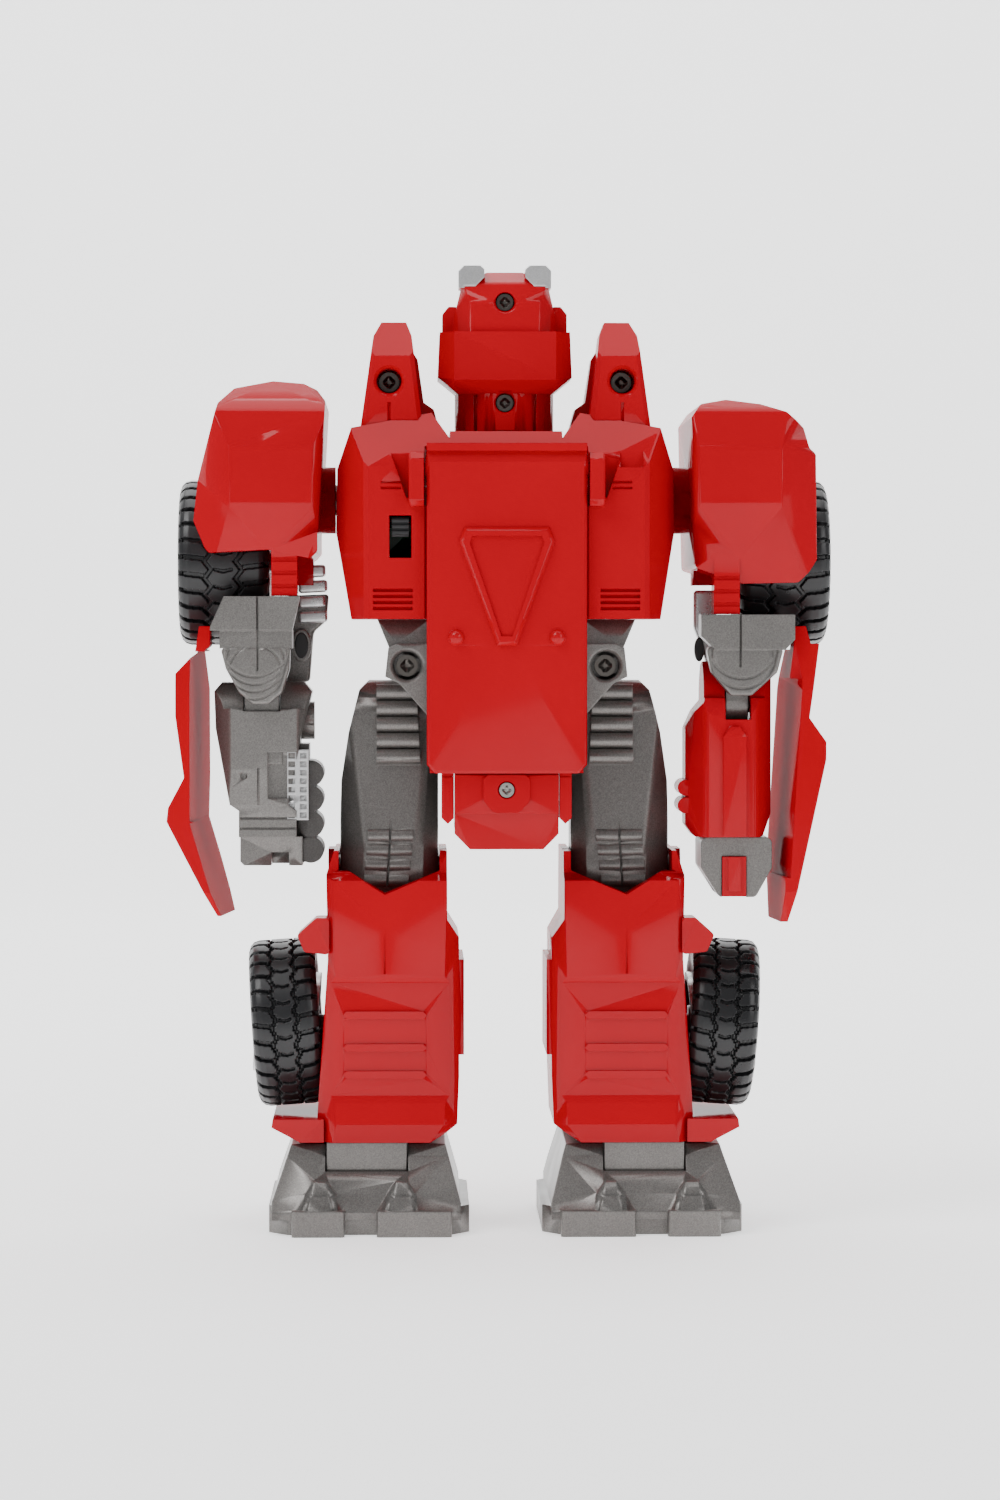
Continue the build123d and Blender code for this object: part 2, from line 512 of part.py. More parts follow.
right_door -= Pos(73, 0, 142.7) * Rot(0, 3.4, 0) * slab_z(lean_in, -51, 0.4)
right_door -= Pos(70.2, 0, 92.3) * slab_z([(-3, -24.5), (2, -24.5), (-0.2, 8), (-3, 8)], -14, 0)
save("right_door", right_door)

fore = slab_y([(50, 139.6), (52, 142), (73.5, 142), (75.4, 139.6), (75, 130), (71.2, 110.3),
               (56.2, 110.3), (52.5, 130)], -20, 4.5)
fore &= (rod_x(ELBOW_Y, LEFT_ELBOW_Z, 10.2, 45, 80)
         + slab_x([(-20.4, 135.4), (-20.4, 126), (-19.4, 110), (3.4, 110), (4.4, 126), (2, 133)],
                  45, 80))
fore &= slab_z([(49.4, -14), (54, -20.6), (70.6, -20.6), (75.6, -14), (75.6, 0), (70.6, 4.7), (54, 4.7),
                (49.4, 0)], 90, 150, 4)
fore -= block(58.2, 67.7, -18.4, 10, 121.6, 150)
fore -= block(58.2, 67.7, -30, 10, 134.6, 150)
fore += slab_y([(54, 108.8), (56.2, 110.4), (71.2, 110.4), (68.9, 108.8), (68.9, 102), (54, 102)],
               -19, 3)
fore += slab_y([(52.5, 102.1), (68.6, 102.1), (68.6, 95.6), (67.6, 94.6), (52.5, 94.6)], -17, 1)
fore -= block(56, 60.6, -18, -6, 94, 98)
fore -= block(54, 61.4, -21, -18.4, 112, 124)
fore += rod_x(ELBOW_Y, LEFT_ELBOW_Z, 4.9, 49.5, 53)
fore -= rod_x(ELBOW_Y, LEFT_ELBOW_Z, 3 + RUN, 50.6, 74.4)
for z in (104, 106.6):
    fore -= block(53, 70, -20, -18.4, z, z + 0.6)
fore -= block(63.6, 64.1, -21, -19.2, 96, 120)
fore -= rod_y(67.6, 117.8, 0.9, -21, -19)
save("left_forearm", flip(fore))

hand = block(50.8, 56.4, -15, 0, 95.4, 126) - fore
for k in range(4):
    hand += rod_y(50.4, 98.6 + 6.6 * k, 3.4, -16, 1)
hand -= fore
save("left_hand", flip(hand))

mesh = block(50.9, 56.4, -18.8, -16.6, 106.4, 124.6)
for k in range(8):
    for x0 in (50.9, 53.9):
        mesh -= block(x0 + 0.5, x0 + 2.2, -19, -17.6, 107 + 2.2 * k, 108.4 + 2.2 * k)
mesh -= fore
mesh -= hand
save("left_arm_grille", flip(mesh))

gun = slab_y([(46.8, 105), (46.8, 130), (49, 134.4), (51.4, 137), (51.4, 147.5), (69, 147.5),
              (69, 108), (66.6, 102), (49, 102)], -22, 5, 1)
gun &= (rod_x(ELBOW_Y, RIGHT_ELBOW_Z, 10.4, 45, 80)
        + slab_x([(-20.4, 138), (-22, 134), (-22, 101), (5, 101), (5, 130), (2.4, 138)], 45, 80))
gun &= slab_z([(46.6, -14.5), (52, -22.2), (64.4, -22.2), (69.2, -15.5), (69.2, 0), (64.4, 5.2), (52, 5.2),
               (46.6, -2.5)], 100, 150, 4)
gun -= block(56.8, 63.4, -17.9, 10, 126.4, 150)
gun -= block(56.8, 63.4, -30, 10, 132.4, 150)
gun -= block(63, 70, -30, 10, 143.4, 150)
for z in (110, 114.6):
    gun += rod_y(46.9, z, 2.1, -16, 0)
gun += slab_y([(56.2, 102.2), (62.2, 102.2), (62.2, 128), (60.4, 130.6), (58, 130.6), (56.2, 128)],
              -23, -21)
gun -= rod_x(ELBOW_Y, RIGHT_ELBOW_Z, 3 + RUN, 51.5, 68.2)
for k in range(3):
    gun -= block(66.2, 67.2, -23, -21, 106 + 7 * k, 111 + 7 * k)
save("right_blaster", gun)

muzzle = slab_y([(50.6, 101.9), (69, 101.9), (69, 94), (64.8, 86.4), (55.4, 86.4), (50.6, 94)],
                -20, 3, 1.6)
muzzle -= block(56, 62.4, -22, -15.8, 84, 97)
muzzle -= rod_z(58.8, -8.5, 6.4, 84, 92)
save("right_muzzle", muzzle)
rib = block(56.1, 62.3, -20.6, -15.9, 86.6, 96.9)
rib += block(57.6, 60.8, -21.4, -20.5, 88, 96.9)
save("right_muzzle_rib", rib)

# ---------------------------------------------------------------- thighs


def thigh_side():
    """Side view of the thigh: hip and knee barrels joined by straight flanks."""
    hip = rod_x(0, HIP_Z, 9.5, THIGH_IN, THIGH_OUT)
    knee = rod_x(0, KNEE_Z, 13, THIGH_IN, THIGH_OUT)
    flank = slab_x([(-9.45, HIP_Z + 0.8), (-12.95, KNEE_Z + 1), (12.95, KNEE_Z + 1),
                    (9.45, HIP_Z + 0.8)], THIGH_IN, THIGH_OUT)
    return hip + knee + flank


thigh = thigh_side()
thigh &= slab_y([(24, 142.6), (35.3, 142.6), (37.9, 139.9), (40.7, 128.7), (42.6, 116.2),
                 (42.9, 105.6), (42.9, 80), (17.3, 80), (17.3, 118.3), (19.4, 130),
                 (21.2, 137)], -20, 20, 0.8)
thigh &= slab_z([(17.3, -6.4), (21.6, -13.2), (36.4, -13.2), (42.9, -5.6), (42.9, 7), (37.6, 13.4),
                 (21.6, 13.4), (17.3, 8)], 79, 144, 1.5)
for k in range(5):
    z = 122.6 + 4.2 * k
    thigh += rod_x(-10.9 + 0.09 * (z - 122), z, 2.05, 22 + 0.2 * k, 33.4)
for k in range(4):
    z = 90.6 + 3.8 * k
    thigh += rod_x(-11.6 + 0.2 * abs(k - 1.2), z, 1.95, 25 - 0.4 * k, 36.6 - 0.3 * k)
thigh -= slab_y([(30.9, 80), (31.4, 80), (28.9, 121), (28.4, 121)], -15, -11.9)
thigh -= block(21, 39.5, -7.4, 7.4, 108.5, 122)
thigh -= rod_x(0, HIP_Z, 3.5 + RUN, 10, 25.6)
thigh -= rod_x(0, KNEE_Z, 2.5 + RUN, 10, 50)
for z, depth in ((124, 9), (112, 10.4), (101, 11.6)):
    thigh += block(21, 39, 8, depth + 1.6, z - 4, z + 4) & slab_y([(18, 80), (42, 80), (40, 140),
                                                                  (20, 140)], 0, 20)
save("right_thigh", thigh)
save("left_thigh", flip(thigh))

# ---------------------------------------------------------------- lower legs

leg_side = [(-17.6, 98.4), (-18.4, 92.6), (-23.8, 91), (-24.6, 66.4), (-23, 64.6), (-23, 35.4),
            (-24.4, 33.6), (-24.8, 28), (-23.4, 23.2), (22, 23.2), (24, 28), (25, 60), (24, 84),
            (21, 102), (15.4, 105), (14.2, 98.4)]
leg_front = [(12, 40), (12.5, 27.8), (19.5, 23.2), (48.7, 23.2), (48.7, 30.1), (45.9, 70.5),
             (46.3, 92.4), (44.4, 98.4), (43.2, 98.4), (42.4, 94.4), (31.2, 87.4), (17.2, 93.2),
             (17, 98.3), (15.1, 98.3), (15.1, 80.9), (12, 76)]
leg_plan = [(11.4, -19), (16.4, -25.4), (43.2, -25.4), (49.4, -17.6), (49.4, 19), (43.6, 25.6), (16, 25.6),
            (11.4, 19)]
leg = slab_y(leg_front, -26, 26) & slab_x(leg_side, 8, 64)
leg &= slab_z(leg_plan, 20, 110, 1.5)
leg += slab_y([(17.2, 80), (43.2, 80), (42, 104), (38, 108), (22, 108), (18.4, 104)], 14.2, 25) \
    & slab_x([(14.2, 80), (24.2, 80), (20.6, 103), (16, 108), (14.2, 106)], 8, 64)
ears = rod_x(0, KNEE_Z, 8, 15.1, 17.0) + rod_x(0, KNEE_Z, 8, 43.2, 46)
leg += ears & block(10, 50, -20, 20, 80, 98.4)
flange = slab_y([(47, 29.2), (60.2, 29.2), (60.5, 27.1), (53.1, 23.2), (47, 23.2)], -22.6, 22)
lobe = slab_y([(45.5, 81.4), (48.9, 81.4), (53.8, 77), (51.9, 72.6), (45.5, 71.9)],
              -24.6, -13.4, 1)
strip = block(10.7, 12.4, -18, 18, 45.5, 70.2)
leg += flange + lobe + strip

# The knee barrel turns in a pocket that flares towards the back.
pocket = rod_x(0, KNEE_Z, 13.6, 17.0, 43.2)
pocket += rod_x(0, KNEE_Z, 14.5, 22.4, 38.6)
pocket += slab_x([(-13.9, 85), (-18.6, 94), (-18.6, 99), (13.9, 99), (13.9, 85)], 17.0, 43.2)
leg -= pocket
leg -= rod_x(0, KNEE_Z, 2.5 + RUN, 16.2, 44.6)
for z in (56.2, 47.8, 40.8):
    leg += slab_y([(20.4, z - 1), (42, z - 1), (42, z + 1), (20.4, z + 1)], -23.7, -20, 0.9)
leg -= block(31, 31.4, -26, -24.2, 67, 90)
leg -= Pos(LEG_WHEEL_X, 0, LEG_WHEEL_Z) * Rot(0, 90 - CAMBER, 0) * Pos(0, 0, -16.2) \
    * Cylinder(2.5 + RUN, 18)
leg_room = slab_y([(15, 66), (43, 66), (45.4, 33), (45.4, 27), (21, 27), (15, 32)], -20.4, -1.6)
rear_leg = (leg & block(5, 70, -30, 0, 20, 110)) - leg_room
rear_leg += rod_x(0, LEG_WHEEL_Z, 6, 34, 46.4) & block(5, 70, -30, 0, 20, 110)
rear_leg -= Pos(LEG_WHEEL_X, 0, LEG_WHEEL_Z) * Rot(0, 90 - CAMBER, 0) * Pos(0, 0, -16.2) \
    * Cylinder(2.5 + RUN, 18)
front_room = slab_y([(15, 66), (43, 66), (45.4, 33), (45.4, 27), (21, 27), (15, 32)], 1.6, 21.4)
front_leg = (leg & block(5, 70, 0, 30, 20, 110)) - front_room
front_leg -= slab_y([(19, 60), (41, 60), (43, 36), (19, 36)], 24.3, 26) \
    - slab_y([(23, 56), (37, 56), (38.6, 40), (23, 40)], 20, 26)
save("right_shin_rear", rear_leg)
save("left_shin_rear", flip(rear_leg))
save("right_shin_front", front_leg)
save("left_shin_front", flip(front_leg))
knee_pin = rod_x(0, KNEE_Z, 2.5, 16.4, 44.4)
save("right_knee_pin", knee_pin)
save("left_knee_pin", flip(knee_pin))

# ---------------------------------------------------------------- feet


def ankle_neck(grow, tall):
    """Hinge tongue of the ankle, hanging from the lower leg."""
    x0, x1 = 25.6 - grow, 46.2 + grow
    barrel = rod_x(ANKLE_Y, ANKLE_Z, 3 + (RUN if grow else 0), x0, x1)
    return barrel + block(x0, x1, ANKLE_Y - 3 - grow, ANKLE_Y + 3 + grow, ANKLE_Z, tall)


ankle = ankle_neck(0, 23.1)
save("right_ankle", ankle)
save("left_ankle", flip(ankle))

foot_side = [(-29.6, 4), (-29.6, 6), (-21.4, 19.6), (-21, 22.6), (22.8, 22.6), (26.6, 26.4), (33, 22),
             (39.6, 13), (41, 4)]
foot = slab_y([(11.6, 4), (11.6, 8), (15.4, 22), (17, 28), (53.4, 28), (55.6, 22), (60.2, 8.6),
               (60.2, 4)], -30, 47) & slab_x(foot_side, 5, 65)
sole = slab_z([(9.4, -22), (14, -28), (56, -28), (61.2, -22), (61.2, 29), (52, 41.5), (18, 41.5),
               (9.4, 29)], 0, 7, 1.5)
sole += slab_z([(14, -33), (33.3, -33), (33.3, -20), (14, -20)], 0, 6.6, 1)
sole += slab_z([(41.5, -33), (55.1, -33), (55.1, -20), (41.5, -20)], 0, 6.6, 1)
foot += sole
foot -= block(10, 60, -2, 2, -1, 1.2)
foot -= block(10, 60, 14, 18, -1, 1.2)
foot -= slab_x([(22, 18), (22, 30), (36, 30), (43, 11)], 33.6, 36.6)
for x0, x1 in ((22.5, 31.2), (43.2, 52.4)):
    pipe = slab_y([(x0, 5.4), (x1, 5.4), (x1 - 0.6, 10.6), (x1 - 2.8, 13.8), (x0 + 2.8, 13.8),
                   (x0 + 0.6, 10.6)], -30.8, -22, 0.9)
    pipe += slab_y([(x0 + 1.3, 5.4), (x1 - 1.3, 5.4), (x1 - 2, 10.4), (x0 + 2, 10.4)], -31.8, -30, 0.8)
    foot += pipe
foot -= rod_x(ANKLE_Y, ANKLE_Z, 3 + RUN, 25.2, 46.6)
for k in range(0, ANKLE_TURN + 6, 5):
    sweep = block(25.2, 46.6, -3.4, 3.4, 0, 20)
    foot -= Pos(0, ANKLE_Y, ANKLE_Z) * Rot(k, 0, 0) * sweep
foot -= slab_x([(-9, 3), (-9, 19.8), (22, 19.8), (26.4, 23), (31, 19.6), (36.4, 12), (37.6, 3)],
               17, 53)
save("right_foot", foot)
save("left_foot", flip(foot))
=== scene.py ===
import bpy
import bmesh
import json
from math import cos, pi, radians, sin
from mathutils import Matrix, Vector


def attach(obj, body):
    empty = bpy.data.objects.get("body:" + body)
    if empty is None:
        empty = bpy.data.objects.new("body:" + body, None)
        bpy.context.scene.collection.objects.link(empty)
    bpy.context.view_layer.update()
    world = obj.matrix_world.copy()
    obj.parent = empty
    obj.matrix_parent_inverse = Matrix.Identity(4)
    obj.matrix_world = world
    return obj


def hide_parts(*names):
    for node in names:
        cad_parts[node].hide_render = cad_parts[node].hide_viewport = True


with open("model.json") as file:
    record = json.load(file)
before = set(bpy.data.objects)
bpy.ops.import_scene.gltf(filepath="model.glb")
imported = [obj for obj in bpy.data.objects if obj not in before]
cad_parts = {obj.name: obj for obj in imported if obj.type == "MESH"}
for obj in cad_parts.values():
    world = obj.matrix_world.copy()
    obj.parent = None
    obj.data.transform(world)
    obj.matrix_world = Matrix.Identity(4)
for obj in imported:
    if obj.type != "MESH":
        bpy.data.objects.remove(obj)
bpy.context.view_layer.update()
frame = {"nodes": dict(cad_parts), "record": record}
MM = 0.001
BODY_OF = {n: b for b, nodes in frame["record"]["behaviour"]["bodies"].items() for n in nodes}
SLOT_OF = {s["node"]: s["material_slot"] for s in frame["record"]["subparts"]}


# ---------------------------------------------------------------- shared helpers

def add_object(name, data):
    """New object that holds the data, linked to the scene."""
    obj = bpy.data.objects.new(name, data)
    bpy.context.scene.collection.objects.link(obj)
    return obj


def even_normals(obj, keep_sharp=False):
    """Weight the normals by face area, so that flat faces stay flat beside rounded edges."""
    even = obj.modifiers.new("even", "WEIGHTED_NORMAL")
    even.keep_sharp = keep_sharp
    even.weight = 100


def turn_to(obj, aim):
    """Point a lamp or camera at a spot."""
    obj.rotation_mode = "QUATERNION"
    obj.rotation_quaternion = (aim - obj.location).to_track_quat("-Z", "Y")


# ---------------------------------------------------------------- materials

DRIFT_SCALE = 24.0          # slow change of colour across a piece
SMEAR_SCALE = 70.0          # patches of more and less gloss
FLECK_SCALE = 3800.0        # metallic specks in the plastic
NOISE_SPREAD = (0.3, 0.7)   # the part of the noise's range that is used
SMOOTHEST = 0.02
GRAIN_STRENGTH = 0.4
COAT_ROUGHNESS = 0.06
PLASTIC_IOR = 1.5
EDGE_SAMPLES = 4


def noise(tree, where, scale, detail):
    """Noise texture in the piece's own coordinates."""
    node = tree.nodes.new("ShaderNodeTexNoise")
    node.inputs["Scale"].default_value = scale
    node.inputs["Detail"].default_value = detail
    tree.links.new(where.outputs["Object"], node.inputs["Vector"])
    return node


def surface(name, colour, rough, metallic=0.0, coat=0.0, wear=0.04, grain=900.0,
            grain_depth=0.00001, edge=0.0004, tint=0.06, flakes=0.0, see_through=0.0, shine=0.5):
    """Moulded plastic or metal: uneven gloss, faint colour drift, fine grain, softened edges."""
    mat = bpy.data.materials.new(name)
    mat.use_nodes = True
    tree = mat.node_tree
    tree.nodes.clear()
    new, link = tree.nodes.new, tree.links.new
    out = new("ShaderNodeOutputMaterial")
    bsdf = new("ShaderNodeBsdfPrincipled")
    link(bsdf.outputs["BSDF"], out.inputs["Surface"])
    where = new("ShaderNodeTexCoord")

    drift = noise(tree, where, DRIFT_SCALE, 3.0)
    shade = new("ShaderNodeValToRGB")
    dark, light = shade.color_ramp.elements
    dark.position, light.position = NOISE_SPREAD
    dark.color = (*[c * (1 - tint) for c in colour], 1)
    light.color = (*[min(1, c * (1 + tint)) for c in colour], 1)
    link(drift.outputs["Fac"], shade.inputs["Fac"])
    last = shade.outputs["Color"]

    if flakes:
        fleck = new("ShaderNodeTexVoronoi")
        fleck.inputs["Scale"].default_value = FLECK_SCALE
        link(where.outputs["Object"], fleck.inputs["Vector"])
        lift = new("ShaderNodeMapRange")
        lift.inputs["To Min"].default_value = 1 - flakes
        lift.inputs["To Max"].default_value = 1 + flakes
        link(fleck.outputs["Color"], lift.inputs["Value"])
        mix = new("ShaderNodeMix")
        mix.data_type = "RGBA"
        mix.blend_type = "MULTIPLY"
        mix.inputs["Factor"].default_value = 1.0
        link(last, mix.inputs["A"])
        link(lift.outputs["Result"], mix.inputs["B"])
        last = mix.outputs["Result"]
    link(last, bsdf.inputs["Base Color"])

    smear = noise(tree, where, SMEAR_SCALE, 5.0)
    gloss = new("ShaderNodeMapRange")
    gloss.inputs["From Min"].default_value = NOISE_SPREAD[0]
    gloss.inputs["From Max"].default_value = NOISE_SPREAD[1]
    gloss.inputs["To Min"].default_value = max(SMOOTHEST, rough - wear)
    gloss.inputs["To Max"].default_value = rough + wear
    link(smear.outputs["Fac"], gloss.inputs["Value"])
    link(gloss.outputs["Result"], bsdf.inputs["Roughness"])

    soft = new("ShaderNodeBevel")
    soft.samples = EDGE_SAMPLES
    soft.inputs["Radius"].default_value = edge
    grit = noise(tree, where, grain, 2.0)
    bump = new("ShaderNodeBump")
    bump.inputs["Strength"].default_value = GRAIN_STRENGTH
    bump.inputs["Distance"].default_value = grain_depth
    link(grit.outputs["Fac"], bump.inputs["Height"])
    link(soft.outputs["Normal"], bump.inputs["Normal"])
    link(bump.outputs["Normal"], bsdf.inputs["Normal"])

    bsdf.inputs["Metallic"].default_value = metallic
    bsdf.inputs["Coat Weight"].default_value = coat
    bsdf.inputs["Coat Roughness"].default_value = COAT_ROUGHNESS
    bsdf.inputs["Specular IOR Level"].default_value = shine
    bsdf.inputs["Transmission Weight"].default_value = see_through
    bsdf.inputs["IOR"].default_value = PLASTIC_IOR
    return mat


RED = (0.42, 0.0002, 0.008)
BLACK = (0.012, 0.012, 0.013)
CRISP = 0.0001      # edge radius of small metal parts, in metres

FINISH = {
    "red_plastic": surface("red_plastic", RED, 0.24, wear=0.05, tint=0.05, coat=0.38, shine=0.0),
    "grey_plastic": surface("grey_plastic", (0.175, 0.166, 0.157), 0.33, metallic=0.55, wear=0.05,
                            grain=1500, flakes=0.25, edge=0.0005),
    "silver_plastic": surface("silver_plastic", (0.6, 0.6, 0.6), 0.3, metallic=0.75, wear=0.06,
                              flakes=0.12),
    "tyre_rubber": surface("tyre_rubber", BLACK, 0.34, wear=0.1, grain=1400,
                           grain_depth=0.00003, edge=0.0003, tint=0.3),
    "black_plastic": surface("black_plastic", BLACK, 0.45, wear=0.08, tint=0.2),
    "lamp_plastic": surface("lamp_plastic", (0.85, 0.83, 0.76), 0.1, see_through=0.5, wear=0.03),
    "visor_plastic": surface("visor_plastic", (0.03, 0.2, 0.62), 0.12, coat=0.6,
                             see_through=0.25, wear=0.03),
    "steel": surface("steel", (0.36, 0.35, 0.33), 0.3, metallic=1.0, wear=0.1, grain=2500,
                     edge=CRISP),
    "brass": surface("brass", (0.62, 0.5, 0.26), 0.3, metallic=1.0, edge=CRISP),
    "board_laminate": surface("board_laminate", (0.02, 0.12, 0.05), 0.35, coat=0.3, edge=CRISP),
}

# Darker copy of the grey plastic for the left hand: painted shade on a hand that is the same grey
# as the forearm.
PAINTED_SHADE_HAND = surface("hand_grey_painted_shade", (0.07, 0.065, 0.062), 0.4, metallic=0.5, grain=1500,
                       flakes=0.2)
# Darker copy of steel for the body and head screws: painted shade for screws that sit in shadow.
PAINTED_SHADE_STEEL = surface("steel_painted_shade", (0.12, 0.11, 0.1), 0.35, metallic=1.0, wear=0.1, edge=CRISP)
DOOR_PLASTIC = surface("door_plastic", RED, 0.45, coat=0.1, shine=0.0)

# Pieces that look different from the rest of their slot: the left hand and the screws get darker
# copies as painted shade, the doors a rougher red.
VARIANT = {
    "left_hand": PAINTED_SHADE_HAND,
    "body_screws": PAINTED_SHADE_STEEL,
    "head_screws": PAINTED_SHADE_STEEL,
    "left_door": DOOR_PLASTIC,
    "right_door": DOOR_PLASTIC,
}


# ---------------------------------------------------------------- pieces copied from the CAD

SKIN_SHARP = radians(20)
WELD = 2e-6
SLIVER = 1e-6


def dress(obj, node):
    """Give a piece its material, picked by the node's slot, and its body, both from the node it
    stands for.
    """
    slot = SLOT_OF[node]
    obj.data.materials.clear()
    obj.data.materials.append(VARIANT.get(node, FINISH[slot]))
    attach(obj, BODY_OF[node])


def skin(node):
    """Smooth-shaded copy of a CAD piece, shown in its place."""
    mesh = frame["nodes"][node].data.copy()
    mesh.name = f"{node}_skin"
    work = bmesh.new()
    work.from_mesh(mesh)
    bmesh.ops.remove_doubles(work, verts=work.verts, dist=WELD)
    bmesh.ops.dissolve_degenerate(work, edges=work.edges, dist=SLIVER)
    work.to_mesh(mesh)
    work.free()
    mesh.shade_smooth()
    mesh.set_sharp_from_angle(angle=SKIN_SHARP)
    obj = add_object(f"{node}_skin", mesh)
    even_normals(obj, keep_sharp=True)
    dress(obj, node)
    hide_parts(node)


# ---------------------------------------------------------------- tyres

# Lengths are in millimetres. Places across the tread are fractions of its half width.
HUB_R = 13.3
LUGS = 30
LUG_STEPS = 22
FACE_STEPS = 26
SHOULDER_WIDTH = 2.8
SHOULDER_DROP = 3.2
EDGE_DROP = 0.8
ZIGZAG_AT, ZIGZAG_SWING, ZIGZAG_HALF, ZIGZAG_DEPTH = 0.34, 0.07, 0.055, 1.1
GAP_FROM, GAP_SHARE, GAP_SKEW, GAP_DEPTH = 0.42, 0.27, 0.3, 1.3
GAP_PHASE = {1: 0.28, -1: 0.78}
SIPE_TO, SIPE_SHARE, SIPE_SKEW, SIPE_DEPTH = 0.2, 0.16, 0.6, 0.8
RIB_FROM, RIB_TO, RIB_HEIGHT = 15.2, 16.2, 0.25
WALL_SHARE, WALL_SPREAD = 0.45, 0.55
TREAD_SHARP = radians(34)

ARM_TYRE = {"x": 73.1, "y": 8.0, "z": 173.3, "lean": 0, "r": 21.7, "width": 23.8}
LEG_TYRE = {"x": 56.9, "y": 0.0, "z": 52.6, "lean": radians(4), "r": 21.8, "width": 17.4}


def tyre_profile(r, width):
    """Half section of the tyre as (radius, distance across) points, from bead to bead."""
    half = width / 2
    wall = [(HUB_R, -half + 0.9), (15.0, -half + 0.35), (17.0, -half), (r - 2.6, -half),
            (r - 1.3, -half + 0.5), (r - 0.4, -half + 1.4), (r, -half + SHOULDER_WIDTH)]
    face = width - 2 * SHOULDER_WIDTH
    across = [(r, -half + SHOULDER_WIDTH + face * k / FACE_STEPS) for k in range(1, FACE_STEPS)]
    profile = wall + across + [(a, -b) for a, b in reversed(wall)]
    fine = []
    for (a0, b0), (a1, b1) in zip(profile, profile[1:]):
        cuts = 1 if abs(b1 - b0) < 0.6 and abs(a1 - a0) < 0.6 else 3
        fine += [(a0 + (a1 - a0) * k / cuts, b0 + (b1 - b0) * k / cuts) for k in range(cuts)]
    fine.append(profile[-1])
    return fine


def groove(a, v, phase, r):
    """Depth of the tread pattern at radius a and place v across; a rib on the wall is negative."""
    hand = 1 if v > 0 else -1
    off = abs(v)
    if a > r - SHOULDER_DROP:
        depth = 0.0
        zig = abs(2 * phase - 1) * 2 - 1
        if abs(off - ZIGZAG_AT - ZIGZAG_SWING * zig * hand) < ZIGZAG_HALF:
            depth = ZIGZAG_DEPTH
        slant = (phase + GAP_PHASE[hand] + GAP_SKEW * (off - 0.4)) % 1
        if off > GAP_FROM and slant < GAP_SHARE:
            depth = GAP_DEPTH
        middle = (phase + SIPE_SKEW * off + 0.5) % 1
        if off < SIPE_TO and middle < SIPE_SHARE:
            depth = SIPE_DEPTH
        return depth
    return -RIB_HEIGHT if RIB_FROM < a < RIB_TO else 0.0


def tread(x, y, z, lean, r, width, node, side):
    """Tyre with a blocky tread: zigzag grooves round the middle, lugs wrapping the shoulders."""
    half = width / 2
    fine = tyre_profile(r, width)
    around = LUGS * LUG_STEPS
    verts, faces = [], []
    for step in range(around):
        turn = 2 * pi * step / around
        phase = (step % LUG_STEPS) / LUG_STEPS
        for a, b in fine:
            cut = groove(a, b / half, phase, r)
            on_wall = r - SHOULDER_DROP < a <= r - EDGE_DROP or cut < 0
            radius = a - cut * (1 if a > r - EDGE_DROP else WALL_SHARE)
            level = b - (cut * WALL_SPREAD * (1 if b > 0 else -1) if on_wall else 0)
            verts.append((level * side, radius * cos(turn), radius * sin(turn)))
    n = len(fine)
    for step in range(around):
        a0, a1 = step * n, (step + 1) % around * n
        for k in range(n - 1):
            faces.append((a0 + k, a0 + k + 1, a1 + k + 1, a1 + k))
        faces.append((a0 + n - 1, a0, a1, a1 + n - 1))
    mesh = bpy.data.meshes.new(f"{node}_tread")
    mesh.from_pydata(verts, [], faces)
    mesh.transform(Matrix.Rotation(lean, 4, "Y"))
    mesh.transform(Matrix.Translation((x, y, z)))
    mesh.transform(Matrix.Scale(MM, 4))
    work = bmesh.new()
    work.from_mesh(mesh)
    bmesh.ops.recalc_face_normals(work, faces=work.faces)
    work.to_mesh(mesh)
    work.free()
    mesh.shade_smooth()
    mesh.set_sharp_from_angle(angle=TREAD_SHARP)
    obj = add_object(f"{node}_tread", mesh)
    dress(obj, node)
    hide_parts(node)


for node in sorted(frame["nodes"]):
    if not node.endswith("_tyre"):
        skin(node)

# Known fault: the leg treads lean the opposite way to their wheels. Their lean wants a minus sign.
for side, word in ((1, "right"), (-1, "left")):
    for limb, tyre in (("arm", ARM_TYRE), ("leg", LEG_TYRE)):
        tread(side * tyre["x"], tyre["y"], tyre["z"], side * tyre["lean"], tyre["r"],
              tyre["width"], f"{word}_{limb}_tyre", side)


# ---------------------------------------------------------------- added trim

OVAL_STEPS = 24
RIB_PITCH = 4.0
FIRST_RIB = 157.6


def plate(name, body, slot, points, y0, y1, side=1, round_off=0.5):
    """Small moulded plate with an (X, Z) outline in millimetres; side -1 puts it on the left."""
    points = [(side * x, z) for x, z in points]
    verts = [(x * MM, y * MM, z * MM) for y in (y0, y1) for x, z in points]
    n = len(points)
    faces = [tuple(range(n)), tuple(range(2 * n - 1, n - 1, -1))]
    faces += [(k, (k + 1) % n, (k + 1) % n + n, k + n) for k in range(n)]
    mesh = bpy.data.meshes.new(name)
    mesh.from_pydata(verts, [], faces)
    work = bmesh.new()
    work.from_mesh(mesh)
    bmesh.ops.recalc_face_normals(work, faces=work.faces)
    bmesh.ops.bevel(work, geom=work.edges[:], offset=round_off * MM, segments=3, profile=0.5,
                    affect="EDGES", clamp_overlap=True)
    work.to_mesh(mesh)
    work.free()
    mesh.shade_smooth()
    obj = add_object(name, mesh)
    even_normals(obj)
    obj.data.materials.append(FINISH[slot])
    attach(obj, body)


def oval(x, z, a, b):
    """Points of an oval in the (X, Z) plane."""
    turns = [2 * pi * k / OVAL_STEPS for k in range(OVAL_STEPS)]
    return [(x + a * cos(turn), z + b * sin(turn)) for turn in turns]


